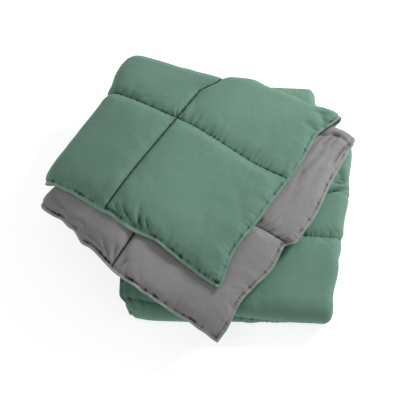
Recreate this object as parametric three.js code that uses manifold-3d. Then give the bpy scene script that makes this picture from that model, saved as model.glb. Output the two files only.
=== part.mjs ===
// A box-quilted duvet, sage green on one side and grey on the other, folded into a low block
// with its last quarter laid over the block at an angle, so that the grey side shows.
// Millimetres, +Z up, X to the right and Y away from the front, resting on z = 0.
import * as THREE from 'three';
import { mergeVertices } from 'three/addons/utils/BufferGeometryUtils.js';
import Module from 'manifold-3d';

// Quilting: squares between sewn channels, with a flat sewn rim around the edge.
const loft = 22;
const seamThickness = 7;
const hemThickness = 4.5;
const rimWidth = 8;
const pillowReach = 40;

// Folding: layers lie a little apart, and a doubled ply turns in a roll.
const layerPitch = 26;
const plyPitch = 2 * layerPitch;
const blockHeight = 104;
const restClearance = 0.5;
const settle = 3;

// The quarter on top, in its own axes: a along its near seam to the right, b away from the front.
const quarterTurn = 31 * Math.PI / 180;
const quarterOrigin = { x: -56, y: 101 };
const box = 304;
const rollCentre = -160;
const underEnd = 36;
const stepStart = 24;
const stepLength = 236;
const stepRest = 10;

// Edges of the upper quarter, a row per station along a. hemTop is the green free edge,
// fold the rounded edge at the back, seamGrey the last channel of the grey layer, hemGrey its edge.
const quarterRows = [
  { a: -230, hemTop: -296, fold: 128, seamGrey: -44, hemGrey: -332 },
  { a: -100, hemTop: -293, fold: 139, seamGrey: -62, hemGrey: -360 },
  { a: -50, hemTop: -296, fold: 146, seamGrey: -73, hemGrey: -376 },
  { a: 0, hemTop: -299, fold: 153, seamGrey: -84, hemGrey: -397 },
  { a: 110, hemTop: -316, fold: 205, seamGrey: -108, hemGrey: -422 },
  { a: 210, hemTop: -321, fold: 229, seamGrey: -126, hemGrey: -420 },
  { a: 304, hemTop: -330, fold: 243, seamGrey: -140, hemGrey: -418 },
  { a: 400, hemTop: -335, fold: 249, seamGrey: -146, hemGrey: -421 },
];

// How far the quarter's right edge stands out or draws in along its length, from the green hem
// at v = 0 over the fold at the back and along the grey layer to its own hem.
const edgeRows = [
  { v: 0, out: 10 },
  { v: 85, out: -5 },
  { v: 200, out: 3 },
  { v: 345, out: 8 },
  { v: 405, out: 0 },
  { v: 480, out: -6 },
  { v: 500, out: -14 },
  { v: 545, out: -5 },
  { v: 610, out: 0 },
  { v: 720, out: 14 },
  { v: 780, out: 11 },
  { v: 805, out: -9 },
  { v: 860, out: -5 },
  { v: 1000, out: -27 },
  { v: 1055, out: -24 },
  { v: 1095, out: -29 },
];

// Right edge of the block, a row per station from the front to the back.
const blockRows = [
  { y: -400, right: 299 },
  { y: -340, right: 301 },
  { y: -236, right: 321 },
  { y: -157, right: 340 },
  { y: -18, right: 366 },
  { y: 105, right: 384 },
  { y: 190, right: 328 },
  { y: 270, right: 309 },
  { y: 345, right: 317 },
];
const blockLeft = -180;
const blockFront = -372;
const blockBack = 320;
// The front fold runs back towards the left, and the channels run down towards the right.
const frontSkew = { by: 18, lean: 0.6 };
const channelSlant = { by: 40, lean: 1.2, slope: 1.25, fade: 300 };
// Left end of the block by height: the top layer stands out over the others.
const leftRows = [
  { height: 0, left: -153 },
  { height: 30, left: -157 },
  { height: 57, left: -161 },
  { height: 80, left: -167 },
  { height: 92, left: -182 },
  { height: 104, left: -182 },
];

const clamp01 = (t) => Math.min(1, Math.max(0, t));
const smooth = (t) => clamp01(t) * clamp01(t) * (3 - 2 * clamp01(t));
const mix = (p, q, t) => p + (q - p) * t;
const ramp = (t, from, to) => smooth((t - from) / (to - from));
const fade = (t, from, to) => 1 - ramp(t, from, to);

// Smooth reading of a column between the rows of a table.
function column(rows, key, name, at) {
  let i = 0;
  while (i < rows.length - 2 && at > rows[i + 1][key]) i += 1;
  const t = (at - rows[i][key]) / (rows[i + 1][key] - rows[i][key]);
  return mix(rows[i][name], rows[i + 1][name], smooth(t));
}

// Stations across a plate: close together at each sewn line and at the hems, wider between.
const nearOffsets = [0, 10, 34];
const narrowestStep = 7;
const widestStep = 62;

function stations(marks) {
  const list = [];
  marks.forEach((mark) => {
    if (mark.kink) list.push(mark.at);
    if (mark.roll) {
      for (let k = 1; k < mark.steps; k += 1) list.push(mark.at + mark.roll * k / mark.steps);
      list.push(mark.at);
      list.push(mark.at + mark.roll);
    }
    if (!mark.sewn) return;
    nearOffsets.forEach((d) => {
      list.push(mark.at - d);
      list.push(mark.at + d);
    });
  });
  const first = marks[0].at;
  const last = marks[marks.length - 1].at;
  const inside = list.filter((s) => s >= first && s <= last).sort((p, q) => p - q);
  const kept = [inside[0]];
  inside.forEach((s) => {
    const gap = s - kept[kept.length - 1];
    if (gap < narrowestStep) return;
    const parts = Math.ceil(gap / widestStep);
    for (let k = 1; k <= parts; k += 1) kept.push(kept[kept.length - 1] + gap / parts);
  });
  kept[kept.length - 1] = last;
  return kept;
}

// Half thickness at a point: full between channels, drawn in at each channel and at the rim.
function halfThickness(s, marks) {
  let d = 1e9;
  let e = 1e9;
  marks.forEach((mark) => {
    if (mark.hem) e = Math.min(e, Math.abs(s - mark.at));
    else if (mark.sewn) d = Math.min(d, Math.abs(s - mark.at));
  });
  const rise = (k) => Math.sqrt(1 - (1 - clamp01(k)) ** 2);
  const atSeam = mix(seamThickness, loft, rise(d / pillowReach));
  const atHem = mix(hemThickness, loft, rise((e - rimWidth) / pillowReach));
  return Math.min(atSeam, atHem) / 2;
}

// A quilted plate as one closed mesh: its two faces and the band that joins them at the hems.
function plate(uMarks, vMarks, place) {
  const us = stations(uMarks);
  const vs = stations(vMarks);
  const position = [];
  [1, -1].forEach((side) => us.forEach((u) => vs.forEach((v) => {
    const half = Math.min(halfThickness(u, uMarks), halfThickness(v, vMarks));
    position.push(...place(u, v, side * half));
  })));
  const nv = vs.length;
  const sheet = us.length * nv;
  const index = [];
  const quad = (p, q, r, s) => index.push(p, r, q, p, s, r);
  for (let i = 0; i < us.length - 1; i += 1) {
    for (let j = 0; j < nv - 1; j += 1) {
      const p = i * nv + j;
      quad(p, p + nv, p + nv + 1, p + 1);
      quad(sheet + p, sheet + p + 1, sheet + p + nv + 1, sheet + p + nv);
    }
  }
  const rim = [];
  for (let i = 0; i < us.length - 1; i += 1) rim.push(i * nv);
  for (let j = 0; j < nv - 1; j += 1) rim.push((us.length - 1) * nv + j);
  for (let i = us.length - 1; i > 0; i -= 1) rim.push(i * nv + nv - 1);
  for (let j = nv - 1; j > 0; j -= 1) rim.push(j);
  rim.forEach((p, k) => {
    const q = rim[(k + 1) % rim.length];
    quad(q, p, sheet + p, sheet + q);
  });
  return { position, index };
}

// A fold: the path runs to the crease, turns in a half circle and comes back below.
// Gives the place along the path's own direction, the height and the outward normal.
function turned(s, crease, radius) {
  const arc = Math.PI * radius;
  if (s <= crease) return { run: s - crease, height: radius, along: 0, up: 1 };
  if (s >= crease + arc) return { run: crease + arc - s, height: -radius, along: 0, up: -1 };
  const t = (s - crease) / radius;
  return { run: radius * Math.sin(t), height: radius * Math.cos(t), along: Math.sin(t), up: Math.cos(t) };
}

// The block's top as a surface over the plan: lower at its front roll and at its sides. Each
// edge has its height there, as a share of the block's, and how far in it reaches full height.
const edgeRise = {
  front: { share: 0.8, reach: 210 },
  back: { share: 0.93, reach: 120 },
  right: { share: 0.93, reach: 130 },
};

function blockRise(x, y) {
  const rise = (edge, inside) => mix(edge.share, 1, smooth(inside / edge.reach));
  const front = rise(edgeRise.front, y - blockFront);
  const back = rise(edgeRise.back, blockBack + 20 - y);
  const right = rise(edgeRise.right, column(blockRows, 'y', 'right', y) - x);
  return front * back * right;
}

// How far a layer sags where it hangs past the block's edges: from a line inside each edge,
// by the drop over the reach and steeper the further out.
const overhang = {
  left: { inside: 33, reach: 225, drop: 46, power: 1.5 },
  front: { inside: 30, reach: 130, drop: 50, power: 1.4 },
  right: { inside: 20, reach: 120, drop: 40, power: 1.4 },
};

function sag(x, y) {
  const fall = (edge, past) => edge.drop * clamp01((past + edge.inside) / edge.reach) ** edge.power;
  const left = fall(overhang.left, blockLeft - x);
  const front = fall(overhang.front, blockFront - y);
  const right = fall(overhang.right, x - column(blockRows, 'y', 'right', y));
  return left + front + right;
}

// The block: a plate folded in two at the right edge, then over again at the front edge.
const plyRadius = layerPitch / 2;
const stackRadius = plyPitch / 2;
const blockWidth = 500;
const blockDepth = 642;
const frontArc = Math.PI * stackRadius;
const sideArc = Math.PI * plyRadius;
const blockU = [
  { at: 0, sewn: true, hem: true },
  { at: 232, sewn: true },
  { at: blockWidth, roll: sideArc, steps: 4 },
  { at: blockWidth + sideArc + 36, sewn: true },
  { at: blockWidth + sideArc + 340, sewn: true },
  { at: 2 * blockWidth + sideArc, sewn: true, hem: true },
];
const frontSeam = 12;
const topSeam = 448;
const blockVEnd = 2 * blockDepth + frontArc;
const blockV = [
  { at: 0, sewn: true, hem: true },
  { at: topSeam - box, sewn: true },
  { at: topSeam, sewn: true },
  { at: blockDepth - channelSlant.by, roll: frontArc + channelSlant.by, steps: 10 },
  { at: blockDepth + frontSeam, sewn: true },
  { at: blockDepth + frontSeam + box, sewn: true },
  { at: blockDepth + frontSeam + 2 * box, sewn: true },
  { at: blockVEnd, sewn: true, hem: true },
];

function placeBlock(u, v, w) {
  const side = turned(u, blockWidth, plyRadius);
  const run = side.run + w * side.along;
  const rise = side.height + w * side.up;
  const slide = channelSlant.by * clamp01(channelSlant.lean + channelSlant.slope * run / blockWidth);
  const along = v + slide * smooth(v / channelSlant.fade) * smooth((blockVEnd - v) / channelSlant.fade);
  const front = turned(along, blockDepth, stackRadius);
  const depth = front.run + rise * front.along;
  const height = stackRadius * 2 + front.height + rise * front.up;
  const skew = frontSkew.by * smooth(1 + depth / blockDepth) * (run / blockWidth + frontSkew.lean);
  const y = blockFront + stackRadius + loft / 2 + plyRadius - depth - skew;
  const edge = column(blockRows, 'y', 'right', y) - plyRadius - loft / 2;
  const x = mix(edge, column(leftRows, 'height', 'left', height), -run / blockWidth);
  const z = height * blockRise(x, y) - settle;
  return [x, y, Math.max(0, z)];
}

// The upper quarter: folded in two at the back edge, then in two again at the left roll.
const quarterArc = Math.PI * stackRadius;
const foldArc = Math.PI * plyRadius;
const rollAt = box - rollCentre;
const greyBox = 300;
const foldAt = box + 150;
const greyAt = foldAt + foldArc;
const quarterVEnd = greyAt + 2 * greyBox;
// The green hem rests on the grey layer, hangs forward and down along its left part, and has a
// small raised kink where that part ends.
const hemRest = { reach: 30, drop: 7 };
const flap = { start: 160, full: 262, fade: 285, end: 520, out: 18.5, drop: 12, reach: 42 };
const kink = { at: 158, width: 24, reach: 38, height: 6 };
// At the right the green layer ends in a tip at the fold. The grey layer lies further out and
// has a rounded edge of its own, in front of a dent below the fold.
const tip = { out: 25, back: 13, start: 50, end: 15, reach: 70 };
const greyEnd = { start: 8, full: 26, out: 62, back: 18, reach: 120, fade: 190 };
const dent = { at: 6, width: 10, reach: 140, depth: 9 };
const quarterU = [
  { at: 0, sewn: true, hem: true },
  { at: kink.at, kink: true },
  { at: kink.at + kink.width, kink: true },
  { at: kink.at + 2 * kink.width, kink: true },
  { at: box, sewn: true },
  { at: rollAt, roll: quarterArc, steps: 7 },
  { at: rollAt + quarterArc + 40, sewn: true },
  { at: rollAt + quarterArc + underEnd - rollCentre, sewn: true, hem: true },
];
const quarterV = [
  { at: 0, sewn: true, hem: true },
  { at: box, sewn: true },
  { at: foldAt, roll: foldArc, steps: 4 },
  { at: greyAt + greyEnd.start, kink: true },
  { at: greyAt + (greyEnd.start + greyEnd.full) / 2, kink: true },
  { at: greyAt + greyEnd.full, kink: true },
  { at: greyAt + greyBox, sewn: true },
  { at: quarterVEnd, sewn: true, hem: true },
];
// Where a channel runs over a fold, the fold stands out and hides its dip.
const seamFold = { out: 8, reach: 26, along: 60 };
// At the left roll the fold's corner stands out, and the grey layer draws in behind its hem,
// which is pressed out to a point there and lies lower than the rest.
const leftReach = 190;
const corner = { out: 34, start: 20, fade: 150 };
const neck = { in: 16, start: 150, full: 350, end: 60 };
const greyTip = { out: 4, drop: 9, reach: 70, inner: -60 };
// The under ply is drawn in, so that its hems stay behind the ones above.
const underTuck = { by: 44, start: 150 };
const greenTuck = { by: 52, reach: 150, power: 1.5 };

function placeQuarter(u, v, w) {
  // across the fold at the back: which layer, and how far along it
  const fold = turned(v, foldAt, plyRadius);
  const offset = fold.height + w * fold.up;
  // along the quarter: upper ply, roll, under ply
  const roll = turned(u, rollAt, stackRadius);
  const a0 = rollCentre - roll.run - offset * roll.along;
  const upper = roll.up * 0.5 + 0.5;
  const inward = ramp(a0, -leftReach, 0);
  const tipRise = ramp(v, foldAt - tip.start, foldAt);
  const reach = tip.out * tipRise + greyEnd.out * ramp(v, greyAt + greyEnd.start, greyAt + greyEnd.full);
  const right = reach * inward + column(edgeRows, 'v', 'out', v) * smooth(a0 / box);
  const nearHem = ramp(v, quarterVEnd - greyTip.reach, quarterVEnd);
  const left = neck.in * ramp(v, greyAt + neck.start, greyAt + neck.full)
    * fade(v, quarterVEnd - neck.end, quarterVEnd)
    - corner.out * ramp(v, box - corner.start, foldAt - corner.start)
    * fade(v, greyAt, greyAt + corner.fade)
    - greyTip.out * nearHem
    - seamFold.out * Math.exp(-(((v - box) / seamFold.reach) ** 2));
  const a = a0 + right * upper + left * (1 - inward);
  const row = (name) => column(quarterRows, 'a', name, a);
  let b;
  if (v <= box) b = mix(row('hemTop'), 0, v / box);
  else if (v <= foldAt) b = mix(0, row('fold'), (v - box) / (foldAt - box));
  else if (v < greyAt) b = row('fold') + fold.run;
  else if (v <= greyAt + greyBox) b = mix(row('fold'), row('seamGrey'), (v - greyAt) / greyBox);
  else b = mix(row('seamGrey'), row('hemGrey'), (v - greyAt - greyBox) / greyBox);
  b += w * fold.along;
  const overFold = ramp(v, foldAt - seamFold.along, foldAt) * fade(v, greyAt, greyAt + seamFold.along);
  b += seamFold.out * Math.exp(-(((u - box) / seamFold.reach) ** 2)) * overFold;
  const behind = ramp(v, greyAt, greyAt + greyEnd.full) * fade(v, greyAt + greyEnd.full, greyAt + greyEnd.fade);
  b += greyEnd.back * behind * (1 - smooth(u / greyEnd.reach));
  const tipped = tipRise * fade(v, greyAt - tip.end, greyAt + greyEnd.start);
  b += tip.back * tipped * (1 - smooth(u / tip.reach));
  const dented = Math.exp(-(((v - greyAt - dent.at) / dent.width) ** 2)) * (1 - smooth(u / dent.reach));
  b += underTuck.by * (1 - upper) * ramp(v, greyAt + underTuck.start, quarterVEnd);
  b += greenTuck.by * (1 - upper) ** greenTuck.power * fade(v, 0, greenTuck.reach);
  const hung = ramp(u, flap.start, flap.full) * fade(u, flap.fade, flap.end);
  const hangs = hung * Math.exp(-v / flap.reach);
  b -= flap.out * hangs;
  const rests = (1 - hung) * Math.exp(-v / hemRest.reach);
  const raised = Math.exp(-(((u - kink.at) / kink.width) ** 2)) * Math.exp(-v / kink.reach);
  // the upper ply steps down where the under ply ends
  const step = smooth((a - stepStart) / stepLength);
  const plyHeight = mix(plyPitch, stepRest, roll.up > 0 ? step : 0);
  const height = stackRadius + plyHeight * (0.5 + roll.height / plyPitch) + offset * roll.up;
  const c = Math.cos(quarterTurn);
  const s = Math.sin(quarterTurn);
  const x = quarterOrigin.x + a * c + b * s;
  const y = quarterOrigin.y - a * s + b * c;
  const base = (blockHeight - settle) * blockRise(x, y) + restClearance;
  const lower = nearHem * fade(a0, -leftReach, greyTip.inner);
  const drop = flap.drop * hangs + hemRest.drop * rests + dent.depth * dented + greyTip.drop * lower;
  const z = base - sag(x, y) + height + kink.height * raised - drop;
  return [x, y, Math.max(0, z)];
}

// The hidden turn that joins the upper quarter to the block, plain because nothing of it shows.
const joinCentre = { x: -104, y: 92 };
const joinRadius = 60;
const joinHalfHeight = 19;
const joinZ = 101;

const wasm = await Module();
wasm.setup();

function solidOf(mesh) {
  return new wasm.Manifold(new wasm.Mesh({
    numProp: 3,
    vertProperties: new Float32Array(mesh.position),
    triVerts: new Uint32Array(mesh.index),
  }));
}

function joinSolid() {
  const ball = new THREE.SphereGeometry(1, 20, 12);
  ball.deleteAttribute('normal');
  ball.deleteAttribute('uv');
  const whole = mergeVertices(ball);
  whole.scale(joinRadius, joinRadius, joinHalfHeight);
  whole.translate(joinCentre.x, joinCentre.y, joinZ);
  return solidOf({ position: [...whole.attributes.position.array], index: [...whole.index.array] });
}

const blockSolid = solidOf(plate(blockU, blockV, placeBlock));
const quarterSolid = solidOf(plate(quarterU, quarterV, placeQuarter));
const duvetSolid = blockSolid.add(joinSolid()).add(quarterSolid);

// The frame's origin is the centre of the bounding box, at the surface it rests on.
const bounds = duvetSolid.boundingBox();
const shiftX = -(bounds.min[0] + bounds.max[0]) / 2;
const shiftY = -(bounds.min[1] + bounds.max[1]) / 2;
const result = duvetSolid.translate([shiftX, shiftY, 0]).getMesh();

const geometry = new THREE.BufferGeometry();
geometry.setAttribute('position', new THREE.BufferAttribute(result.vertProperties, 3));
geometry.setIndex(new THREE.BufferAttribute(result.triVerts, 1));
geometry.computeVertexNormals();

const cloth = new THREE.MeshStandardMaterial({ color: 0x688c7a, roughness: 0.86, metalness: 0 });
const duvet = new THREE.Mesh(geometry, cloth);
duvet.name = 'duvet';

const group = new THREE.Group();
group.add(duvet);

export default group;
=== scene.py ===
import math

import bpy
import numpy as np
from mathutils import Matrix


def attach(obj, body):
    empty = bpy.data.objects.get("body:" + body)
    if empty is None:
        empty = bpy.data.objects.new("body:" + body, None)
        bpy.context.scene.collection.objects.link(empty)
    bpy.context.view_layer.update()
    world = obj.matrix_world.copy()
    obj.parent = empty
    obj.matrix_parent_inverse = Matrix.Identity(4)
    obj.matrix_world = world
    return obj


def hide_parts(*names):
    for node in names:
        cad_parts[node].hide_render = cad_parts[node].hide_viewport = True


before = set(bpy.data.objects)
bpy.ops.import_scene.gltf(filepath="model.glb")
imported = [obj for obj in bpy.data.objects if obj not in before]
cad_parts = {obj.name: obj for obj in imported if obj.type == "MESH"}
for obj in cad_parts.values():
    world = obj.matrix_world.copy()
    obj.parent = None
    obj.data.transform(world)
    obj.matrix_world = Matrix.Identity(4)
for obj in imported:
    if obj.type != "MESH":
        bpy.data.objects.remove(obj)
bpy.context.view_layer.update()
scene = bpy.context.scene

# Floor, light and camera.
# A plain pale studio floor, a broad soft light from the right and behind, and a weak fill.
# The camera looks down on the pile from the front.


def linear(hex_colour):
    """An sRGB hex colour as linear RGBA."""
    parts = [int(hex_colour[i:i + 2], 16) / 255 for i in (1, 3, 5)]
    return [c / 12.92 if c <= 0.04045 else ((c + 0.055) / 1.055) ** 2.4 for c in parts] + [1.0]


def add_node(tree, kind, inputs=(), **settings):
    """A node of one kind with its settings, its input values and its links."""
    node = tree.nodes.new(kind)
    for key, value in settings.items():
        setattr(node, key, value)
    for key, value in dict(inputs).items():
        if isinstance(value, bpy.types.NodeSocket):
            tree.links.new(value, node.inputs[key])
        else:
            node.inputs[key].default_value = value
    return node


def new_material(name):
    """An empty material and its shader node, ready for its finish."""
    material = bpy.data.materials.new(name)
    material.use_nodes = True
    return material, material.node_tree, material.node_tree.nodes["Principled BSDF"]


floor_reach = 6
floor_level = -0.0006
floor_corners = [
    (floor_reach * i, floor_reach * j, floor_level) for i, j in ((-1, -1), (1, -1), (1, 1), (-1, 1))]
floor_mesh = bpy.data.meshes.new("studio_floor")
floor_mesh.from_pydata(floor_corners, [], [(0, 1, 2, 3)])
floor = bpy.data.objects.new("studio_floor", floor_mesh)
scene.collection.objects.link(floor)
paper, tree, shader = new_material("lit_white_paper")
shader.inputs["Base Color"].default_value = linear("#BEBEBE")
shader.inputs["Roughness"].default_value = 0.9
shader.inputs["Specular IOR Level"].default_value = 0.1
shader.inputs["Emission Color"].default_value = linear("#FFFFFF")
shader.inputs["Emission Strength"].default_value = 0.74
floor_mesh.materials.append(paper)

world = bpy.data.worlds.new("studio")
scene.world = world
world.use_nodes = True
world.node_tree.nodes["Background"].inputs["Color"].default_value = linear("#FFFFFF")
world.node_tree.nodes["Background"].inputs["Strength"].default_value = 0.42


def area_light(name, place, aim, size, watts):
    """A round soft light of a size in metres, turned towards the place that it is aimed at."""
    light = bpy.data.lights.new(name, "AREA")
    light.shape = "DISK"
    light.size = size
    light.energy = watts
    holder = bpy.data.objects.new(name, light)
    scene.collection.objects.link(holder)
    gaze = np.array(aim, float) - np.array(place, float)
    pan = math.atan2(gaze[1], gaze[0]) - math.pi / 2
    tilt = math.atan2(math.hypot(gaze[0], gaze[1]), -gaze[2])
    holder.location = place
    holder.rotation_euler = (tilt, 0, pan)


area_light("key", (1.75, 1.1, 1.45), (0, 0, 0.1), 0.7, 56)
area_light("fill", (-1.0, -1.6, 2.4), (0, 0, 0.1), 2.0, 9)

# The plan position that the camera is aimed at, and how far the frame lies from the pile's own axes.
placed = (-6.297, 49.332)
elevation = math.radians(52)
field_of_view = math.radians(26)
distance = 2.2
camera = bpy.data.cameras.new("camera")
camera.sensor_fit = "HORIZONTAL"
camera.sensor_width = 36
camera.lens = camera.sensor_width / 2 / math.tan(field_of_view / 2)
eye = bpy.data.objects.new("camera", camera)
scene.collection.objects.link(eye)
eye.location = (
    placed[0] * 0.001,
    placed[1] * 0.001 - distance * math.cos(elevation),
    distance * math.sin(elevation),
)
eye.rotation_euler = (math.pi / 2 - elevation, 0, 0)
scene.camera = eye
scene.view_settings.view_transform = "Standard"

# The block.
# The greater part of the duvet: two faces of brushed microfibre with loose filling between them,
# sewn through in large squares and round a flat rim. It is folded in two at the right edge and
# over again at the front, green side out, and lies as four layers with two rounded edges.

layer_pitch = 26.0
ply_pitch = 2 * layer_pitch
ply_radius = layer_pitch / 2
stack_radius = ply_pitch / 2
loft = 22.0
rim_width = 8.0
box_side = 304.0
block_rows = [
    {"y": -400, "right": 299}, {"y": -340, "right": 301}, {"y": -236, "right": 321},
    {"y": -157, "right": 340}, {"y": -18, "right": 366}, {"y": 105, "right": 384},
    {"y": 190, "right": 328}, {"y": 270, "right": 309}, {"y": 345, "right": 317},
]
# Left end of the block by height: the top layer stands out over the others.
left_rows = [
    {"height": 0, "left": -153}, {"height": 30, "left": -157}, {"height": 57, "left": -161},
    {"height": 80, "left": -167}, {"height": 92, "left": -182}, {"height": 104, "left": -182},
]
block_left = -180.0
block_front = -372.0
block_back = 320.0
front_skew = {"by": 18, "lean": 0.6}
channel_slant = {"by": 40, "lean": 1.2, "slope": 1.25, "fade": 300}
block_width = 500.0
block_depth = 642.0
block_height = 104.0
settle = 3.0
rest_clearance = 0.5
front_seam = 12.0
top_seam = 448.0
side_arc = math.pi * ply_radius
front_arc = math.pi * stack_radius
block_u_end = 2 * block_width + side_arc
block_v_end = 2 * block_depth + front_arc
block_u_sewn = [232, block_width + side_arc + 36, block_width + side_arc + 340]
block_v_sewn = [top_seam - box_side, top_seam]
block_v_sewn += [block_depth + front_seam + k * box_side for k in (0, 1, 2)]


def clamp01(t):
    return np.clip(t, 0.0, 1.0)


def smooth(t):
    t = clamp01(t)
    return t * t * (3 - 2 * t)


def mix(p, q, t):
    return p + (q - p) * t


def ramp(t, start, end):
    return smooth((t - start) / (end - start))


def fade(t, start, end):
    return 1 - ramp(t, start, end)


def column(rows, key, name, at):
    """Smooth reading of a column between the rows of a table."""
    keys = np.array([r[key] for r in rows], float)
    values = np.array([r[name] for r in rows], float)
    i = np.clip(np.searchsorted(keys, at, side="right") - 1, 0, len(keys) - 2)
    return mix(values[i], values[i + 1], smooth((at - keys[i]) / (keys[i + 1] - keys[i])))


def turned(s, crease, radius):
    """A fold: straight to the crease, a half circle, and back below it."""
    arc = math.pi * radius
    t = np.clip((s - crease) / radius, 0, math.pi)
    bent = np.where(s >= crease + arc, crease + arc - s, radius * np.sin(t))
    run = np.where(s <= crease, s - crease, bent)
    return run, radius * np.cos(t), np.sin(t), np.cos(t)


# How low the block's top falls at each edge, as a share, and over what distance.
front_fall = {"share": 0.8, "over": 210}
back_fall = {"share": 0.93, "over": 120, "past": 20}
right_fall = {"share": 0.93, "over": 130}


def block_rise(x, y):
    """The block's top over the plan: lower at its front roll and at its sides."""
    from_right = column(block_rows, "y", "right", y) - x
    front = mix(front_fall["share"], 1, smooth((y - block_front) / front_fall["over"]))
    back = mix(back_fall["share"], 1, smooth((block_back + back_fall["past"] - y) / back_fall["over"]))
    right = mix(right_fall["share"], 1, smooth(from_right / right_fall["over"]))
    return front * back * right


def place_block(u, v, w):
    """Where a point of the flat block goes: folded at the right edge, then at the front."""
    run, height, along, up = turned(u, block_width, ply_radius)
    run = run + w * along
    rise = height + w * up
    # the front fold isn't square to the channels: they run down towards the right
    lean = channel_slant["lean"] + channel_slant["slope"] * run / block_width
    slide = channel_slant["by"] * clamp01(lean)
    down = v + slide * smooth(v / channel_slant["fade"]) * smooth((block_v_end - v) / channel_slant["fade"])
    d_run, d_height, d_along, d_up = turned(down, block_depth, stack_radius)
    depth = d_run + rise * d_along
    height = stack_radius * 2 + d_height + rise * d_up
    skew = front_skew["by"] * smooth(1 + depth / block_depth) * (run / block_width + front_skew["lean"])
    y = block_front + stack_radius + loft / 2 + ply_radius - depth - skew
    edge = column(block_rows, "y", "right", y) - ply_radius - loft / 2
    x = mix(edge, column(left_rows, "height", "left", height), -run / block_width)
    z = np.maximum(0, height * block_rise(x, y) - settle)
    return np.stack([x + placed[0], y + placed[1], z], -1)


def ripple(x, seed, longest, shortest, waves=7):
    """A smooth uneven line along x, made of waves between two lengths in millimetres."""
    rng = np.random.RandomState(seed)
    total = np.zeros_like(x, dtype=float)
    for length in np.geomspace(longest, shortest, waves):
        total += np.sin(2 * math.pi * x / (length * rng.uniform(0.9, 1.1)) + rng.uniform(0, 7))
    return total / math.sqrt(waves)


def mottle(x, y, seed, longest, shortest, waves=16):
    """A smooth uneven surface over x and y, of waves in every direction."""
    rng = np.random.RandomState(seed)
    total = np.zeros_like(x, dtype=float)
    for length in np.geomspace(longest, shortest, waves):
        turn = rng.uniform(0, 2 * math.pi)
        across = x * math.cos(turn) + y * math.sin(turn)
        total += np.sin(2 * math.pi * across / length + rng.uniform(0, 7))
    return total / math.sqrt(waves)


# How far the lines beside a sewn mark lie from it, where it shows and where it is hidden.
near_lines = [0, 3.2, 7, 11.5, 17, 24, 32]
hidden_lines = [0, 7, 17, 32]
least_step = 2.4


def cuts(last, marks, hidden_from, spans):
    """Lines across a plate: close at each sewn mark, and one step for each span between."""
    marks = [rim_width] + marks + [last - rim_width]
    lines = {0.0, last}
    for mark in marks:
        for d in near_lines if mark < hidden_from else hidden_lines:
            lines |= {mark - d, mark + d}
    for start, end, step in spans:
        count = max(1, round((end - start) / step))
        for k in range(count + 1):
            s = start + (end - start) * k / count
            if all(abs(s - m) > near_lines[-1] + 2 for m in marks):
                lines.add(s)
    kept = []
    for s in sorted(x for x in lines if 0 <= x <= last):
        if not kept or s - kept[-1] > least_step:
            kept.append(s)
    kept[-1] = last
    return np.array(kept)


def swell(k):
    """A quarter circle: steep at the sewing, level further in."""
    return np.sqrt(1 - (1 - clamp01(k)) ** 2)


# How far from a seam or rim the cloth is held, and its first crown: at the seam, below the loft, reach.
held_reach = 1.5
slack_crown = {"seam": 1.3, "below": 2, "reach": 60}


class Quilt:
    """A quilted plate, laid out flat: its lines, its sewn channels and its mesh."""

    def __init__(self, name, us, vs, u_sewn, v_sewn):
        self.us, self.vs, self.u_sewn, self.v_sewn = us, vs, u_sewn, v_sewn
        u, v = np.meshgrid(us, vs, indexing="ij")
        self.start_half = self.slack_half(u, v)
        points = np.stack([np.stack([u, v, s * self.start_half], -1) for s in (1, -1)]).reshape(-1, 3)
        nu, nv = u.shape
        low = nu * nv
        i, j = [a.ravel() for a in np.meshgrid(np.arange(nu - 1), np.arange(nv - 1), indexing="ij")]
        p = i * nv + j
        top = np.stack([p, p + nv, p + nv + 1, p + 1], 1)
        under = np.stack([p, p + 1, p + nv + 1, p + nv], 1) + low
        ring = [k * nv for k in range(nu)] + [(nu - 1) * nv + k for k in range(1, nv)]
        ring += [k * nv + nv - 1 for k in range(nu - 2, -1, -1)] + [k for k in range(nv - 2, 0, -1)]
        ring = np.array(ring)
        after = np.roll(ring, -1)
        band = np.stack([after, ring, ring + low, after + low], 1)
        mesh = bpy.data.meshes.new(name)
        mesh.from_pydata((points * 0.001).tolist(), [], np.concatenate([top, under, band]).tolist())
        mesh.polygons.foreach_set("material_index", np.repeat([0, 1, 0], [len(top), len(under), len(band)]))
        self.piece = bpy.data.objects.new(name, mesh)
        scene.collection.objects.link(self.piece)
        held = self.seam(u, v).ravel() < held_reach
        held = held | (self.edge(u, v).ravel() < rim_width + held_reach)
        pins = self.piece.vertex_groups.new(name="sewn")
        pins.add(np.flatnonzero(np.concatenate([held, held])).tolist(), 1.0, "REPLACE")

    def seam(self, u, v):
        """How far a point lies from the nearest channel."""
        return np.min([np.abs(u - m) for m in self.u_sewn] + [np.abs(v - m) for m in self.v_sewn], axis=0)

    def edge(self, u, v):
        """How far a point lies in from the nearest hem."""
        return np.minimum.reduce([u, self.us[-1] - u, v, self.vs[-1] - v])

    def slack_half(self, u, v):
        """Half the thickness before the filling pushes: a soft crown between the channels."""
        inside = self.edge(u, v) - rim_width
        rise = swell(np.minimum(self.seam(u, v), inside) / slack_crown["reach"])
        return mix(slack_crown["seam"], loft / 2 - slack_crown["below"], rise)

    def points(self):
        """The place of each vertex, in millimetres."""
        flat = np.empty(len(self.piece.data.vertices) * 3)
        self.piece.data.vertices.foreach_get("co", flat)
        return flat.reshape(-1, 3) * 1000


def blurred(field, reach):
    """A grid smoothed along both of its directions."""
    for axis in (1, 2):
        padded = np.pad(field, [(reach, reach) if k == axis else (0, 0) for k in range(3)], mode="edge")
        count = field.shape[axis]
        field = np.mean([np.take(padded, range(k, k + count), axis) for k in range(2 * reach + 1)], axis=0)
    return field


# A face is marked by this height while the quilt is flat, and what stands over it is creasing.
face_mark = 10.0
crease_limit = 4.5
most_move = 14.0
settled_by = 20
fine_blur = 1
broad_blur = 5


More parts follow.
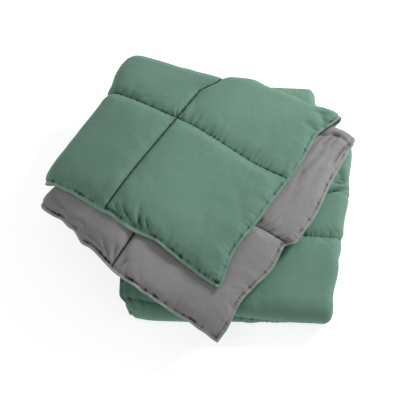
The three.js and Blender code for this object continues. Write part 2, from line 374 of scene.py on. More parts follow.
def puff(quilt, slack, creasing):
    """The filling pushes the faces out between the channels, and slack cloth creases there."""
    piece = quilt.piece
    shape = (2, len(quilt.us), len(quilt.vs))
    side = np.array([1.0, -1.0]).reshape(2, 1, 1)
    start = quilt.points()
    shaped = start
    creases = np.zeros(shape)
    cloth = piece.modifiers.new("filling", "CLOTH")
    settings = cloth.settings
    settings.quality = 6
    settings.mass = 0.15
    settings.tension_stiffness = 12
    settings.compression_stiffness = 12
    settings.shear_stiffness = 4
    settings.bending_stiffness = 0.06
    settings.air_damping = 2
    settings.vertex_group_mass = "sewn"
    settings.pin_stiffness = 1
    settings.shrink_min = -slack
    settings.use_pressure = True
    settings.uniform_pressure_force = 4
    settings.effector_weights.gravity = 0
    cloth.collision_settings.use_collision = False
    cloth.point_cache.frame_start = 1
    cloth.point_cache.frame_end = settled_by
    for number in range(1, settled_by + 1):
        scene.frame_set(number)
    done = piece.evaluated_get(bpy.context.evaluated_depsgraph_get())
    flat = np.empty(len(piece.data.vertices) * 3)
    done.to_mesh().vertices.foreach_get("co", flat)
    done.to_mesh_clear()
    piece.modifiers.remove(cloth)
    scene.frame_set(1)
    move = flat.reshape(-1, 3) * 1000 - start
    size = np.linalg.norm(move, axis=1, keepdims=True)
    move *= most_move * np.tanh(size / most_move) / np.maximum(size, 1e-9)
    shaped = start + move
    rise = side * shaped[:, 2].reshape(shape) - quilt.start_half
    creases = blurred(rise, fine_blur) - blurred(blurred(rise, broad_blur), broad_blur)
    creases = crease_limit * np.tanh(creasing * creases / crease_limit)
    shaped[:, 2] = (side * (face_mark + creases)).ravel()
    piece.data.vertices.foreach_set("co", (shaped * 0.001).ravel())
    piece.data.update()


def refine(quilt):
    """One level of subdivision, and the flat place of each corner kept as its UV."""
    piece = quilt.piece
    finer = piece.modifiers.new("finer", "SUBSURF")
    finer.levels = 1
    finer.render_levels = 1
    mesh = bpy.data.meshes.new_from_object(piece.evaluated_get(bpy.context.evaluated_depsgraph_get()))
    piece.modifiers.remove(finer)
    old = piece.data
    piece.data = mesh
    bpy.data.meshes.remove(old)
    flat = quilt.points()
    corners = np.empty(len(mesh.loops), int)
    mesh.loops.foreach_get("vertex_index", corners)
    layer = mesh.uv_layers.get("cloth") or mesh.uv_layers.new(name="cloth")
    layer.data.foreach_set("uv", (flat[corners][:, :2] * 0.001).ravel())
    return flat[:, 0], flat[:, 1], flat[:, 2]


def gathers(along, away, row):
    """Short sharp valleys that run off a row of stitches, as a share of the height there."""
    seed = row["seed"]
    # they lean to either side, their spacing wanders, and some are stronger than others
    lean = 0.5 * away * ripple(along, seed + 3, 260, 120, 2)
    phase = (along + lean) / row["spacing"] + 0.4 * ripple(along, seed, 230, 60, 4)
    valley = (1 - np.abs(np.sin(math.pi * phase))) ** 1.3
    strength = clamp01(0.55 + 0.7 * ripple(along, seed + 5, 170, 42, 5))
    strength = strength * np.where(away > 0, row["after"], row["before"])
    return valley * strength * np.exp(-np.abs(away) / row["fade"])


def wrinkles(u, v, rows):
    """Single creases and ridges: a short curved line each, rounded across and faded at its ends."""
    total = np.zeros_like(u)
    for row in rows:
        turn = math.radians(row["turn"])
        p = (u - row["u"]) * math.cos(turn) + (v - row["v"]) * math.sin(turn)
        q = (v - row["v"]) * math.cos(turn) - (u - row["u"]) * math.sin(turn)
        q = q - row.get("bend", 0) * p * p / row["length"]
        total = total + row["height"] * np.exp(-(2 * p / row["length"]) ** 4 - (q / row["width"]) ** 2)
    return total


# Half the thickness at a row of stitches, how wide the painted shade along it is, and the deepest gather.
sewn_half = 1.0
line_width = 1.9
most_gather = 0.85


def filled(quilt, u, v, mark, body, top_limit, rows, marks):
    """The height of each face over the middle of its layer, from channel to crown, and its sewing: the
    painted shade along seams, creases and gathers, the painted rim highlight, and the place along and away
    from the nearest row."""
    inside = quilt.edge(u, v) - rim_width
    creased = wrinkles(u, v, marks)
    body = body + np.clip(np.abs(mark) - face_mark, -crease_limit, crease_limit) + creased
    # what is over the limit is pressed down to it, rounded where the two meet
    body = 0.5 * (body + top_limit - np.sqrt((body - top_limit) ** 2 + 3))
    half = body
    share = 0
    # painted highlight: the hems are lighter as if they stood up to the light, the side edges less so as if
    # turned down out of it
    at_hem = np.minimum(v, quilt.vs[-1] - v) < np.minimum(u, quilt.us[-1] - u)
    sewing = {
        # painted shade in the deeper creases
        "pressed": 0.08 * np.maximum(-creased - 2, 0),
        "painted_rim_highlight": smooth(-inside / 3) * np.where(at_hem, 1, 0.3),
        "slit": np.zeros_like(u),
        "sewn_along": np.zeros_like(u),
        "sewn_away": np.full_like(u, 1e3),
    }
    for row in rows:
        along, away = (u, v - row["v"]) if "v" in row else (v, u - row["u"])
        rise = swell(np.abs(away) / row["reach"]) ** row.get("ease", 1.6)
        half = np.minimum(half, mix(sewn_half, body, rise))
        folds = gathers(along, away, row)
        share = share + folds
        # painted shade along the row of stitches and between the gathers beside it
        line = np.exp(-(away / line_width) ** 2) * row["line"]
        if "broken" in row:
            line = line * clamp01(0.45 + 0.8 * ripple(along, row["broken"], 130, 26, 5))
        line = np.maximum(line, row.get("dark", 0.25) * (folds - 0.3))
        sewing["pressed"] = np.maximum(sewing["pressed"], np.where(inside > -line_width, line, 0))
        nearer = np.abs(away) < sewing["sewn_away"]
        sewing["sewn_along"] = np.where(nearer, along + 100 * row["seed"], sewing["sewn_along"])
        sewing["sewn_away"] = np.where(nearer, np.abs(away), sewing["sewn_away"])
        sewing["slit"] = np.where(nearer, row.get("slits", 1.0), sewing["slit"])
    half = sewn_half + (half - sewn_half) * (1 - np.minimum(share, most_gather))
    half = np.where(inside > 0, np.maximum(half, sewn_half), sewn_half + 0.2)
    return np.clip(mark / 6, -1, 1) * half, sewing


def lay(piece, points, sewing):
    """The folded place of every point of a piece, in metres, with its faces turned outwards."""
    piece.data.vertices.foreach_set("co", (points * 0.001).ravel())
    for name, values in sewing.items():
        piece.data.attributes.new(name, "FLOAT", "POINT").data.foreach_set("value", values)
    piece.data.update()
    piece.data.flip_normals()
    piece.data.shade_smooth()


# Slits beside a row of stitches: their spacing, the length over which they change, and their reach.
slit_spacing = 9.5
slit_length = 34.0
slit_reach = 6.0


def microfibre(name, body_hex, worn_hex, rim_highlight_hex, pressed_hex, sheen_hex):
    """Brushed polyester microfibre: plain weave of very fine yarn, matt, with a faint nap that
    lightens edges seen at a slant and clouds the colour where it has been stroked."""
    material, tree, shader = new_material(name)
    flat = add_node(tree, "ShaderNodeUVMap", uv_map="cloth").outputs["UV"]
    place = add_node(tree, "ShaderNodeTexCoord").outputs["Object"]
    # stroked nap: clouds of 60 to 120 mm, and finer ones of about 9 mm
    clouds = add_node(tree, "ShaderNodeTexNoise", {
        "Vector": place, "Scale": 11.0, "Detail": 4.0, "Roughness": 0.55})
    flecks = add_node(tree, "ShaderNodeTexNoise", {
        "Vector": flat, "Scale": 110.0, "Detail": 3.0, "Roughness": 0.6})
    blend = add_node(tree, "ShaderNodeMath", {
        0: clouds.outputs["Fac"], 1: flecks.outputs["Fac"]}, operation="ADD")
    spread = add_node(tree, "ShaderNodeMapRange", {
        "Value": blend.outputs[0], "From Min": 0.72, "From Max": 1.28})
    colour = add_node(tree, "ShaderNodeMix", {"Factor": spread.outputs[0]}, data_type="RGBA")
    colour.inputs["A"].default_value = linear(worn_hex)
    colour.inputs["B"].default_value = linear(body_hex)
    # slits between the gathers too fine for the mesh: about one in 10 mm, up to 15 mm long, bumped in and
    # darkened with painted shade
    along = add_node(tree, "ShaderNodeAttribute", attribute_name="sewn_along").outputs["Fac"]
    away = add_node(tree, "ShaderNodeAttribute", attribute_name="sewn_away").outputs["Fac"]
    step = add_node(tree, "ShaderNodeMath", {0: along, 1: 1 / slit_spacing}, operation="MULTIPLY")
    run = add_node(tree, "ShaderNodeMath", {0: away, 1: 1 / slit_length}, operation="MULTIPLY")
    spot = add_node(tree, "ShaderNodeCombineXYZ", {"X": step.outputs[0], "Y": run.outputs[0]})
    uneven = add_node(tree, "ShaderNodeTexNoise", {"Vector": spot.outputs[0], "Scale": 1.0, "Detail": 1.0})
    slits = add_node(tree, "ShaderNodeMapRange", {
        "Value": uneven.outputs["Fac"], "From Min": 0.5, "From Max": 0.66})
    share = add_node(tree, "ShaderNodeAttribute", attribute_name="slit").outputs["Fac"]
    faded = add_node(tree, "ShaderNodeMath", {0: away, 1: -1 / slit_reach}, operation="MULTIPLY")
    near = add_node(tree, "ShaderNodeMath", {0: faded.outputs[0]}, operation="EXPONENT")
    there = add_node(tree, "ShaderNodeMath", {0: near.outputs[0], 1: share}, operation="MULTIPLY")
    depth = add_node(tree, "ShaderNodeMath", {
        0: slits.outputs[0], 1: there.outputs[0]}, operation="MULTIPLY")
    # painted shade: the colour darkens along the seams, in the creases, between the gathers and in the
    # slits
    pressed = add_node(tree, "ShaderNodeAttribute", attribute_name="pressed").outputs["Fac"]
    dotted = add_node(tree, "ShaderNodeMapRange", {
        "Value": uneven.outputs["Fac"], "From Min": 0.35, "From Max": 0.6, "To Min": 0.55, "To Max": 1.25})
    line = add_node(tree, "ShaderNodeMath", {0: pressed, 1: dotted.outputs[0]}, operation="MULTIPLY")
    dark = add_node(tree, "ShaderNodeMath", {
        0: depth.outputs[0], 1: 0.6, 2: line.outputs[0]}, operation="MULTIPLY_ADD", use_clamp=True)
    sewn = add_node(tree, "ShaderNodeMix", {"Factor": dark.outputs[0]}, data_type="RGBA")
    # painted highlight: the rim is lighter, as if flat and stretched it took the light
    painted_rim_highlight = add_node(tree, "ShaderNodeAttribute", attribute_name="painted_rim_highlight").outputs["Fac"]
    rim_highlighted = add_node(tree, "ShaderNodeMix", {"Factor": painted_rim_highlight}, data_type="RGBA")
    tree.links.new(colour.outputs["Result"], rim_highlighted.inputs["A"])
    rim_highlighted.inputs["B"].default_value = linear(rim_highlight_hex)
    tree.links.new(rim_highlighted.outputs["Result"], sewn.inputs["A"])
    sewn.inputs["B"].default_value = linear(pressed_hex)
    tree.links.new(sewn.outputs["Result"], shader.inputs["Base Color"])
    # yarn at 1.4 mm, about four times coarser than the cloth's own, so that it shows
    yarn = {"Vector": flat, "Scale": 114.0, "Distortion": 1.2, "Detail": 1.0}
    warp = add_node(tree, "ShaderNodeTexWave", yarn)
    weft = add_node(tree, "ShaderNodeTexWave", yarn, bands_direction="Y")
    weave = add_node(tree, "ShaderNodeMath", {
        0: warp.outputs["Fac"], 1: weft.outputs["Fac"]}, operation="MULTIPLY")
    # small soft creases of a cloth that has been packed, 15 to 40 mm long
    creases = add_node(tree, "ShaderNodeTexNoise", {
        "Vector": flat, "Scale": 34.0, "Detail": 5.0, "Roughness": 0.5})
    fine = add_node(tree, "ShaderNodeBump", {
        "Height": weave.outputs[0], "Strength": 0.22, "Distance": 0.0005})
    soft = add_node(tree, "ShaderNodeBump", {
        "Height": creases.outputs["Fac"], "Strength": 0.3, "Distance": 0.004,
        "Normal": fine.outputs["Normal"]})
    sunk = add_node(tree, "ShaderNodeBump", {
        "Height": depth.outputs[0], "Strength": 0.8, "Distance": 0.003, "Normal": soft.outputs["Normal"]},
        invert=True)
    tree.links.new(sunk.outputs["Normal"], shader.inputs["Normal"])
    shader.inputs["Roughness"].default_value = 0.82
    shader.inputs["Specular IOR Level"].default_value = 0.22
    shader.inputs["Sheen Weight"].default_value = 0.28
    shader.inputs["Sheen Roughness"].default_value = 0.5
    shader.inputs["Sheen Tint"].default_value = linear(sheen_hex)
    return material


# Colours: the cloth, its stroked nap, the painted highlight on the rims, the painted shade in seams,
# creases and slits, and the sheen.
green_microfibre = microfibre(
    "brushed_microfibre_sage_green", "#668878", "#5E8070", "#7FA08F", "#1F352B", "#B9D2C4")
grey_microfibre = microfibre(
    "brushed_microfibre_mid_grey", "#8A8888", "#818080", "#A09E9D", "#222222", "#D6D2D0")

block_us = cuts(block_u_end, block_u_sewn, block_width + side_arc, [
    (0, 200, 13), (200, block_width, 9), (block_width, block_width + side_arc, 5.5),
    (block_width + side_arc, block_u_end, 32)])
block_vs = cuts(block_v_end, block_v_sewn, block_depth + front_arc, [
    (0, 300, 20), (300, block_depth - channel_slant["by"], 9),
    (block_depth - channel_slant["by"], block_depth + front_arc, 7),
    (block_depth + front_arc, block_v_end, 24)])
# Each sewn line: how far its pillows take to rise, how much painted shade lies along it, and the gathers
# beside it.
rim_line = {"ease": 1, "reach": 20, "line": 0.3, "fade": 13, "spacing": 16}
hidden_line = {"reach": 24, "line": 0.7, "before": 0.5, "after": 0.5, "fade": 14}
block_lines = [
    {"v": top_seam, "reach": 24, "line": 0.5,
     "before": 0.6, "after": 0.7, "fade": 15, "spacing": 17, "seed": 40},
    {"v": block_depth + front_seam, "reach": 22, "line": 0.4,
     "before": 0.5, "after": 0.6, "fade": 13, "spacing": 13, "seed": 42},
    {"v": rim_width, "before": 0, "after": 0.6, "seed": 48, **rim_line},
    {"v": block_v_end - rim_width, "before": 0.6, "after": 0, "seed": 49, **rim_line},
    {"u": rim_width, "before": 0, "after": 0.6, "seed": 50, **rim_line},
    {"u": block_u_end - rim_width, "before": 0.6, "after": 0, "seed": 51, **rim_line},
]
block_lines += [
    {"v": at, "spacing": 19, "seed": 52 + k, **hidden_line}
    for k, at in enumerate([block_v_sewn[0]] + block_v_sewn[3:])]
block_lines += [
    {"u": at, "spacing": 18, "seed": 56 + k, **hidden_line}
    for k, at in enumerate(block_u_sewn)]
# Creases where the block's right edge is bent: turn in degrees from the direction across the block.
block_marks = [
    {"u": 484, "v": 317, "length": 70, "width": 3.6, "turn": -24, "height": -13.0, "bend": 0.1},
    {"u": 496, "v": 289, "length": 36, "width": 3.6, "turn": 15, "height": -9.5},
    {"u": 501, "v": 265, "length": 30, "width": 3.6, "turn": 60, "height": -9.5},
    {"u": 508, "v": 278, "length": 30, "width": 3.6, "turn": -20, "height": -8.0},
    {"u": 510, "v": 322, "length": 40, "width": 5, "turn": 14, "height": -4.0},
]
# The slack of the cloth, the share of its creases that is kept, and the filling's own height.
cloth_slack = 0.045
crease_share = 0.8
crown_height = 11.4
crown_limit = 12.9
block = Quilt("duvet_block", block_us, block_vs, block_u_sewn, block_v_sewn)
puff(block, cloth_slack, crease_share)
u, v, mark = refine(block)
crown = crown_height + 0.5 * mottle(u, v, 9, 150, 40)
w, sewing = filled(block, u, v, mark, crown, crown_limit, block_lines, block_marks)
lay(block.piece, place_block(u, v, w), sewing)
block.piece.data.materials.append(green_microfibre)
block.piece.data.materials.append(grey_microfibre)
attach(block.piece, "root")
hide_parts("duvet")

# The turned quarter.
# The last quarter of the same duvet, folded at the back edge with its grey side in and rolled
# under at the left, and laid on the block at an angle. The grey layer runs out past the green one.

quarter_rows = [
    {"a": -230, "hem_top": -296, "fold": 128, "seam_grey": -44, "hem_grey": -332},
    {"a": -100, "hem_top": -293, "fold": 139, "seam_grey": -62, "hem_grey": -360},
    {"a": -50, "hem_top": -296, "fold": 146, "seam_grey": -73, "hem_grey": -376},
    {"a": 0, "hem_top": -299, "fold": 153, "seam_grey": -84, "hem_grey": -397},
    {"a": 110, "hem_top": -316, "fold": 205, "seam_grey": -108, "hem_grey": -422},
    {"a": 210, "hem_top": -321, "fold": 229, "seam_grey": -126, "hem_grey": -420},
    {"a": 304, "hem_top": -330, "fold": 243, "seam_grey": -140, "hem_grey": -418},
    {"a": 400, "hem_top": -335, "fold": 249, "seam_grey": -146, "hem_grey": -421},
]
# How far the right edge stands out or draws in along its length, from the green hem to the grey.
edge_rows = [
    {"v": 0, "out": 10}, {"v": 85, "out": -5}, {"v": 200, "out": 3}, {"v": 345, "out": 8},
    {"v": 405, "out": 0}, {"v": 480, "out": -6}, {"v": 500, "out": -14}, {"v": 545, "out": -5},
    {"v": 610, "out": 0}, {"v": 720, "out": 14}, {"v": 780, "out": 11}, {"v": 805, "out": -9},
    {"v": 860, "out": -5}, {"v": 1000, "out": -27}, {"v": 1055, "out": -24}, {"v": 1095, "out": -29},
]
quarter_turn = math.radians(31)
quarter_origin = (-56.0, 101.0)
roll_centre = -160.0
under_end = 36.0
step_start = 24.0
step_length = 236.0
step_rest = 10.0
# At the right the green layer ends in a tip at the fold. The grey layer lies further out and
# has a rounded edge of its own, in front of a dent below the fold.
tip = {"out": 25, "back": 13, "start": 50, "end": 15, "reach": 70}
grey_end = {"start": 8, "full": 26, "out": 62, "back": 18, "reach": 120, "fade": 190}
dent = {"at": 6, "width": 10, "reach": 140, "depth": 9}
# Where a channel runs over a fold, the fold stands out and hides its dip.
seam_fold = {"out": 8, "reach": 26, "along": 60}
# At the left roll the fold's corner stands out, and the grey layer draws in behind its hem,
# which is pressed out to a point there and lies lower than the rest.
left_reach = 190.0
corner = {"out": 34, "start": 20, "fade": 150}
neck = {"in": 16, "start": 150, "full": 350, "end": 60}
grey_tip = {"out": 4, "drop": 9, "reach": 70, "inner": -60}
# The under ply is drawn in, so that its hems stay behind the ones above.
under_tuck = {"by": 44, "start": 150}
green_tuck = {"by": 52, "reach": 150, "power": 1.5}
hem_rest = {"drop": 7.0, "reach": 30}
flap = {"start": 160, "full": 262, "fade": 285, "end": 520, "out": 18.5, "drop": 12, "reach": 42}
kink = {"at": 158, "width": 24, "reach": 38, "height": 6}
back_strip = 150
under_seam = 40
fold_arc = math.pi * ply_radius
quarter_arc = math.pi * stack_radius
roll_at = box_side - roll_centre
fold_at = box_side + back_strip
grey_at = fold_at + fold_arc
grey_box = 300.0
quarter_u_end = roll_at + quarter_arc + under_end - roll_centre
quarter_v_end = grey_at + 2 * grey_box
quarter_u_sewn = [box_side, roll_at + quarter_arc + under_seam]
quarter_v_sewn = [box_side, grey_at + grey_box]


# Sag past each edge of the block: where it starts inside the edge, and how far out it is whole.
left_sag = {"by": 46, "inside": 33, "over": 225, "power": 1.5}
front_sag = {"by": 50, "inside": 30, "over": 130, "power": 1.4}
right_sag = {"by": 40, "inside": 20, "over": 120, "power": 1.4}


def sag(x, y):
    """How far a layer sags where it hangs past the block's edges."""
    past_right = x - column(block_rows, "y", "right", y)
    left = clamp01((block_left + left_sag["inside"] - x) / left_sag["over"])
    front = clamp01((block_front + front_sag["inside"] - y) / front_sag["over"])
    right = clamp01((past_right + right_sag["inside"]) / right_sag["over"])
    total = left_sag["by"] * left ** left_sag["power"]
    total = total + front_sag["by"] * front ** front_sag["power"]
    return total + right_sag["by"] * right ** right_sag["power"]


def hem_lift(u, v):
    """The hems don't lie straight: how far they stand up or droop, fading into the cloth."""
    hems = [
        {"inside": v, "along": u, "seed": 71, "height": 1.6},
        {"inside": u, "along": v, "seed": 72, "height": 1.3},
        {"inside": quarter_v_end - v, "along": u, "seed": 73, "height": 1.8},
    ]
    reach = 32
    return sum(
        hem["height"] * ripple(hem["along"], hem["seed"], 170, 38, 5) * np.exp(-hem["inside"] / reach)
        for hem in hems)


def place_quarter(u, v, w):
    """Where a point of the flat quarter goes: folded at the back, rolled at the left, and draped."""
    run, height, along, up = turned(v, fold_at, ply_radius)
    offset = height + w * up
    r_run, r_height, r_along, r_up = turned(u, roll_at, stack_radius)
    a0 = roll_centre - r_run - offset * r_along
    upper = r_up * 0.5 + 0.5
    inward = ramp(a0, -left_reach, 0)
    tip_rise = ramp(v, fold_at - tip["start"], fold_at)
    reach = tip["out"] * tip_rise
    reach = reach + grey_end["out"] * ramp(v, grey_at + grey_end["start"], grey_at + grey_end["full"])
    right = reach * inward + column(edge_rows, "v", "out", v) * smooth(a0 / box_side)
    left = neck["in"] * ramp(v, grey_at + neck["start"], grey_at + neck["full"])
    left = left * fade(v, quarter_v_end - neck["end"], quarter_v_end)
    stands = corner["out"] * ramp(v, box_side - corner["start"], fold_at - corner["start"])
    left = left - stands * fade(v, grey_at, grey_at + corner["fade"])
    near_hem = ramp(v, quarter_v_end - grey_tip["reach"], quarter_v_end)
    left = left - grey_tip["out"] * near_hem
    left = left - seam_fold["out"] * np.exp(-((v - box_side) / seam_fold["reach"]) ** 2)
    a = a0 + right * upper + left * (1 - inward)
    hem_top, fold, seam_grey, hem_grey = [
        column(quarter_rows, "a", name, a) for name in ("hem_top", "fold", "seam_grey", "hem_grey")]
    b = np.where(
        v <= box_side, mix(hem_top, 0, v / box_side), np.where(
            v <= fold_at, mix(0, fold, (v - box_side) / (fold_at - box_side)), np.where(
                v < grey_at, fold + run, np.where(
                    v <= grey_at + grey_box, mix(fold, seam_grey, (v - grey_at) / grey_box),
                    mix(seam_grey, hem_grey, (v - grey_at - grey_box) / grey_box)))))
    b = b + w * along
    over_fold = ramp(v, fold_at - seam_fold["along"], fold_at)
    over_fold = over_fold * fade(v, grey_at, grey_at + seam_fold["along"])
    b = b + seam_fold["out"] * np.exp(-((u - box_side) / seam_fold["reach"]) ** 2) * over_fold
    behind = ramp(v, grey_at, grey_at + grey_end["full"])
    behind = behind * fade(v, grey_at + grey_end["full"], grey_at + grey_end["fade"])
    b = b + grey_end["back"] * behind * (1 - smooth(u / grey_end["reach"]))
    tipped = tip_rise * fade(v, grey_at - tip["end"], grey_at + grey_end["start"])
    b = b + tip["back"] * tipped * (1 - smooth(u / tip["reach"]))
    dented = np.exp(-((v - grey_at - dent["at"]) / dent["width"]) ** 2) * (1 - smooth(u / dent["reach"]))
    b = b + under_tuck["by"] * (1 - upper) * ramp(v, grey_at + under_tuck["start"], quarter_v_end)
    b = b + green_tuck["by"] * (1 - upper) ** green_tuck["power"] * fade(v, 0, green_tuck["reach"])
    # the green hem rests on the grey layer, hangs forward and down along its left part, and
    # has a small raised kink where that part ends
    hung = ramp(u, flap["start"], flap["full"]) * fade(u, flap["fade"], flap["end"])
    hangs = hung * np.exp(-v / flap["reach"])
    rests = (1 - hung) * np.exp(-v / hem_rest["reach"])
    b = b - flap["out"] * hangs
    raised = np.exp(-((u - kink["at"]) / kink["width"]) ** 2 - v / kink["reach"])
    # the upper ply steps down where the under ply ends
    step = smooth((a - step_start) / step_length)
    ply_height = mix(ply_pitch, step_rest, np.where(r_up > 0, step, 0))
    z = stack_radius + ply_height * (0.5 + r_height / ply_pitch) + offset * r_up
    c, s = math.cos(quarter_turn), math.sin(quarter_turn)
    x = quarter_origin[0] + a * c + b * s
    y = quarter_origin[1] - a * s + b * c
    base = (block_height - settle) * block_rise(x, y) + rest_clearance
    lower = near_hem * fade(a0, -left_reach, grey_tip["inner"])
    z = base - sag(x, y) + z + kink["height"] * raised + hem_lift(u, v) - grey_tip["drop"] * lower
    z = np.maximum(0, z - flap["drop"] * hangs - hem_rest["drop"] * rests - dent["depth"] * dented)
    return np.stack([x + placed[0], y + placed[1], z], -1)


quarter_us = cuts(quarter_u_end, quarter_u_sewn, roll_at + quarter_arc, [
    (0, roll_at, 8), (roll_at, roll_at + quarter_arc, 7.5), (roll_at + quarter_arc, quarter_u_end, 22)])
quarter_vs = cuts(quarter_v_end, quarter_v_sewn, 2 * quarter_v_end, [
    (0, fold_at, 9), (fold_at, grey_at, 5.5), (grey_at, grey_at + 130, 7),
    (grey_at + 130, quarter_v_end - 170, 22), (quarter_v_end - 170, quarter_v_end, 8)])
quarter_lines = [
    {"v": box_side, "reach": 28, "line": 0.8,
     "before": 0.4, "after": 1.2, "fade": 19, "spacing": 17, "seed": 21},
    {"u": box_side, "reach": 18, "line": 2.2, "slits": 0.1,
     "before": 0.15, "after": 0.15, "fade": 10, "spacing": 21, "seed": 22},
    {"v": quarter_v_sewn[1], "reach": 26, "line": 0.9, "dark": 0.75,
     "before": 1.8, "after": 0.7, "fade": 17, "spacing": 14, "seed": 23},
    {"u": quarter_u_sewn[1], "reach": 22, "line": 0.7,
     "before": 0.5, "after": 0.5, "fade": 14, "spacing": 19, "seed": 24},
    {"v": rim_width, "ease": 1, "reach": 18, "line": 1.0, "broken": 31, "slits": 0.5,
     "before": 0, "after": 0.6, "fade": 15, "spacing": 13, "seed": 25},
    {"u": rim_width, "ease": 1, "reach": 18, "line": 0.7, "broken": 32, "slits": 0.5,
     "before": 0, "after": 0.5, "fade": 12, "spacing": 16, "seed": 26},
    {"v": quarter_v_end - rim_width, "ease": 1, "reach": 18, "line": 1.3, "broken": 33, "slits": 0.5,
     "before": 0.8, "after": 0, "fade": 15, "spacing": 16, "seed": 27},
    {"u": quarter_u_end - rim_width, "ease": 1, "reach": 18, "line": 0.2,
     "before": 0.6, "after": 0, "fade": 13, "spacing": 16, "seed": 28},
]
# Creases and ridges at the turned-up part of the green hem, at the pinched right tip, at the
# crumpled end of the back fold, along the grey layer and at its left end.
quarter_marks = [
    {"u": 241, "v": 15, "length": 58, "width": 3.6, "turn": 17, "height": -8.5, "bend": 0.15},
    {"u": 212, "v": 16, "length": 30, "width": 3.6, "turn": 41, "height": -8.0},
    {"u": 190, "v": 14, "length": 48, "width": 3.6, "turn": 35, "height": -7.0, "bend": 0.2},
    {"u": 224, "v": 28, "length": 50, "width": 5, "turn": 60, "height": -3.5},
    {"u": 274, "v": 14, "length": 30, "width": 3.6, "turn": 20, "height": -6.0},
    {"u": 100, "v": 110, "length": 150, "width": 14, "turn": 62, "height": -1.6, "bend": 0.1},
    {"u": 60, "v": 190, "length": 150, "width": 12, "turn": 48, "height": -1.4, "bend": -0.1},
    {"u": 16, "v": 432, "length": 60, "width": 4, "turn": 24, "height": -8.0},
    {"u": 26, "v": 414, "length": 50, "width": 4, "turn": 8, "height": -7.0},
    {"u": 30, "v": 446, "length": 70, "width": 4, "turn": 4, "height": -6.0},
    {"u": 70, "v": grey_at + 42, "length": 60, "width": 5, "turn": 16, "height": -6.0},
    {"u": 38, "v": grey_at + 38, "length": 50, "width": 4, "turn": -14, "height": -7.0, "bend": 0.2},
    {"u": 60, "v": grey_at + 58, "length": 44, "width": 4, "turn": 64, "height": -5.0},
    {"u": 44, "v": grey_at + 56, "length": 36, "width": 4, "turn": 84, "height": -5.0},
    {"u": 17, "v": grey_at + 70, "length": 70, "width": 4, "turn": 78, "height": -9.0, "bend": 0.2},
    {"u": 82, "v": grey_at + 74, "length": 90, "width": 7, "turn": 76, "height": -4.0, "bend": 0.1},
    {"u": 62, "v": grey_at + 110, "length": 120, "width": 8, "turn": 80, "height": -4.0, "bend": -0.1},
    {"u": 40, "v": grey_at + 140, "length": 130, "width": 8, "turn": 86, "height": -3.0},
    {"u": 70, "v": grey_at + 190, "length": 130, "width": 9, "turn": 96, "height": -2.5},
    {"u": 448, "v": quarter_v_end - 32, "length": 70, "width": 5, "turn": -24, "height": -4.0,
     "bend": -0.1},
    {"u": 396, "v": quarter_v_end - 24, "length": 40, "width": 4, "turn": 14, "height": -3.5},
    {"u": 356, "v": quarter_v_end - 18, "length": 44, "width": 4, "turn": -12, "height": -4.5},
    {"u": 330, "v": quarter_v_end - 20, "length": 40, "width": 4, "turn": -34, "height": -4.5},
    {"u": 312, "v": quarter_v_end - 24, "length": 44, "width": 4, "turn": -70, "height": -6.0},
    {"u": 290, "v": quarter_v_end - 20, "length": 36, "width": 4, "turn": 70, "height": -6.0},
]
quarter = Quilt("duvet_quarter", quarter_us, quarter_vs, quarter_u_sewn, quarter_v_sewn)
puff(quarter, cloth_slack, crease_share)
u, v, mark = refine(quarter)
above = (mark > 0) * (v < fold_at)
crown = crown_height + 1.6 * above + 0.5 * mottle(u, v, 3, 150, 40)
w, sewing = filled(
    quarter, u, v, mark, crown, crown_limit + 2 * above, quarter_lines, quarter_marks)
lay(quarter.piece, place_quarter(u, v, w), sewing)
quarter.piece.data.materials.append(green_microfibre)
quarter.piece.data.materials.append(grey_microfibre)
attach(quarter.piece, "root")
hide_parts("duvet")

# The sewing thread.
# Lockstitch in green polyester along every channel and round the rims, on the sides that face
# out. Each stitch is a short bead of thread that lies in the dip of its row.

stitch_pitch = 4.6
stitch_length = 3.1
thread_radius = 0.45
thread_height = sewn_half + 0.3
path_step = 2.5
past_roll = 20


def row_path(place, start, end, side):
    """A row of sewing laid along the cloth, in metres, from one flat place to another."""
    count = int(math.dist(start, end) / path_step)
    t = np.linspace(0, 1, count + 1)
    u, v = mix(start[0], end[0], t), mix(start[1], end[1], t)
    return place(u, v, np.full(len(t), side * thread_height)) * 0.001


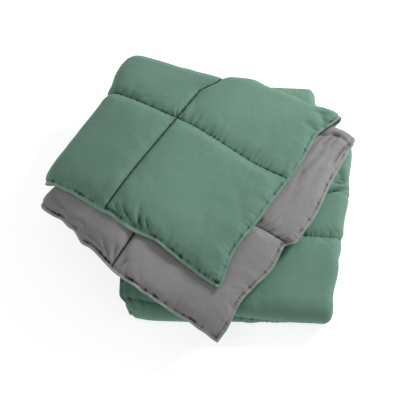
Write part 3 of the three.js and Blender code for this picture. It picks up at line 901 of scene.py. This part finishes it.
def stitch_tree():
    """Beads of thread at an even pitch along each line of the mesh."""
    tree = bpy.data.node_groups.new("rows_of_stitches", "GeometryNodeTree")
    tree.interface.new_socket("Rows", in_out="INPUT", socket_type="NodeSocketGeometry")
    for name in ("Pitch", "Length", "Radius"):
        tree.interface.new_socket(name, in_out="INPUT", socket_type="NodeSocketFloat")
    tree.interface.new_socket("Stitches", in_out="OUTPUT", socket_type="NodeSocketGeometry")
    given = add_node(tree, "NodeGroupInput").outputs
    lines = add_node(tree, "GeometryNodeMeshToCurve", {"Mesh": given["Rows"]})
    spots = add_node(tree, "GeometryNodeCurveToPoints", {
        "Curve": lines.outputs[0], "Length": given["Pitch"]}, mode="LENGTH")
    half = add_node(tree, "ShaderNodeMath", {0: given["Length"], 1: 0.5}, operation="MULTIPLY")
    size = add_node(tree, "ShaderNodeCombineXYZ", {
        "X": given["Radius"], "Y": given["Radius"], "Z": half.outputs[0]})
    bead = add_node(tree, "GeometryNodeMeshIcoSphere", {"Radius": 1.0, "Subdivisions": 1})
    beads = add_node(tree, "GeometryNodeInstanceOnPoints", {
        "Points": spots.outputs["Points"], "Instance": bead.outputs["Mesh"],
        "Rotation": spots.outputs["Rotation"], "Scale": size.outputs[0]})
    real = add_node(tree, "GeometryNodeRealizeInstances", {"Geometry": beads.outputs[0]})
    dyed = add_node(tree, "GeometryNodeSetMaterial", {
        "Geometry": real.outputs[0], "Material": polyester_thread})
    add_node(tree, "NodeGroupOutput", {"Stitches": dyed.outputs[0]})
    return tree


# spun polyester: matt, a little darker than the cloth it holds, with a soft shine along each stitch
polyester_thread, _, shader = new_material("spun_polyester_thread_green")
shader.inputs["Base Color"].default_value = linear("#3F6152")
shader.inputs["Roughness"].default_value = 0.55
shader.inputs["Sheen Weight"].default_value = 0.2

u_rim = quarter_u_end - rim_width
v_rim = quarter_v_end - rim_width
block_rim = block_v_end - rim_width
rows = [
    row_path(place_quarter, (rim_width, at), (u_rim, at), 1) for at in (rim_width, box_side)]
rows += [
    row_path(place_quarter, (at, rim_width), (at, fold_at), 1) for at in (rim_width, box_side)]
rows += [
    row_path(place_quarter, (rim_width, at), (roll_at + past_roll, at), -1)
    for at in (quarter_v_sewn[1], v_rim)]
rows += [
    row_path(place_quarter, (at, grey_at), (at, v_rim), -1) for at in (rim_width, box_side)]
rows += [
    row_path(place_block, (rim_width, at), (block_width, at), 1)
    for at in [rim_width] + block_v_sewn + [block_rim]]
rows += [
    row_path(place_block, (at, rim_width), (at, block_rim), 1) for at in (rim_width, block_u_sewn[0])]
starts = np.cumsum([0] + [len(row) for row in rows[:-1]])
joined = [(int(s) + k, int(s) + k + 1) for s, row in zip(starts, rows) for k in range(len(row) - 1)]
row_mesh = bpy.data.meshes.new("sewing_thread")
row_mesh.from_pydata(np.concatenate(rows).tolist(), joined, [])
thread = bpy.data.objects.new("sewing_thread", row_mesh)
scene.collection.objects.link(thread)
tree = stitch_tree()
sewn_on = thread.modifiers.new("stitches", "NODES")
sewn_on.node_group = tree
sizes = {"Pitch": stitch_pitch, "Length": stitch_length, "Radius": thread_radius}
for socket in tree.interface.items_tree:
    if socket.name in sizes:
        sewn_on[socket.identifier] = sizes[socket.name] * 0.001
stitched = bpy.data.meshes.new_from_object(thread.evaluated_get(bpy.context.evaluated_depsgraph_get()))
thread.modifiers.remove(sewn_on)
thread.data = stitched
bpy.data.meshes.remove(row_mesh)
stitched.shade_smooth()
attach(thread, "root")
